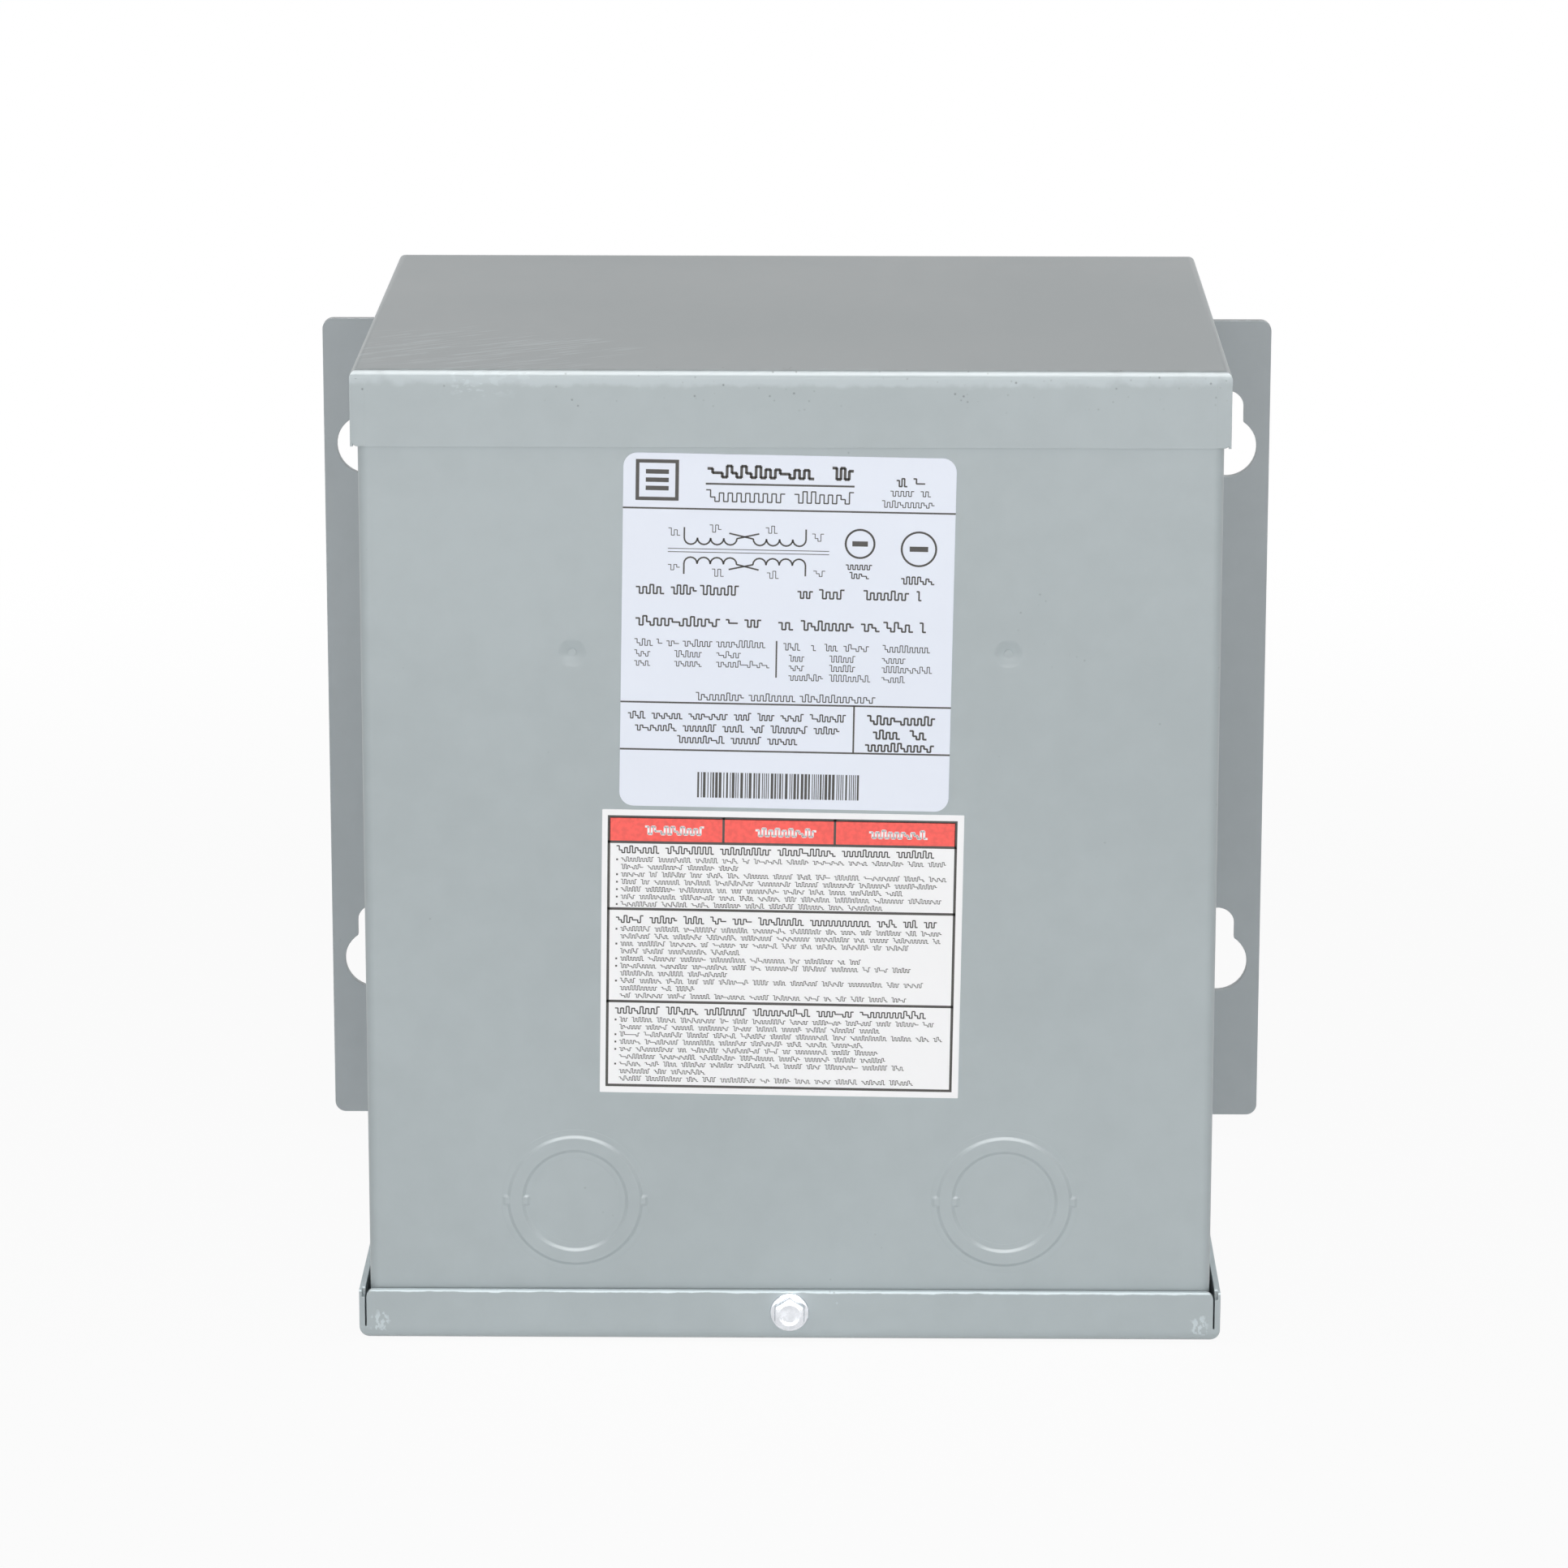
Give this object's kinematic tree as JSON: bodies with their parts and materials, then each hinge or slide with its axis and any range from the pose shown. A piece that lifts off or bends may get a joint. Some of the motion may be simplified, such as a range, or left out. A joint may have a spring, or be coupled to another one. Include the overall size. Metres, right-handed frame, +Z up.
{
  "type": "dry-type transformer",
  "caption": "Small wall-mounted dry-type transformer in a folded sheet-steel case, with keyhole mounting wings and conduit knockouts above a screwed bottom cover.",
  "frame": {"origin": "centre of the overall box in X and Y, on the underside of the bottom cover, where the part stands", "axes": "+Z up, -Y out of the front with the labels, +Y into the wall, +X to the right of someone facing the front"},
  "size_m": [0.219, 0.1562, 0.2115],
  "materials": {
    "case_paint": "semi-gloss grey powder coat",
    "plate_paint": "semi-gloss grey powder coat",
    "zinc": "bright zinc plate",
    "nameplate_card": "printed polyester label",
    "wiring_card": "printed vinyl label",
    "label_ink": "printed ink",
    "band_ink": "printed ink",
    "resin": "filled potting resin"
  },
  "bodies": {
    "root": {"case_wrap": "case_paint", "mounting_plate": "plate_paint", "top_cover": "case_paint", "bottom_cover": "case_paint", "cover_screw": "zinc", "knockout_ring_left": "case_paint", "knockout_ring_right": "case_paint", "knockout_disc_left": "case_paint", "knockout_disc_right": "case_paint", "nameplate": "nameplate_card", "wiring_label": "wiring_card", "potted_core": "resin"}
  },
  "joints": []
}
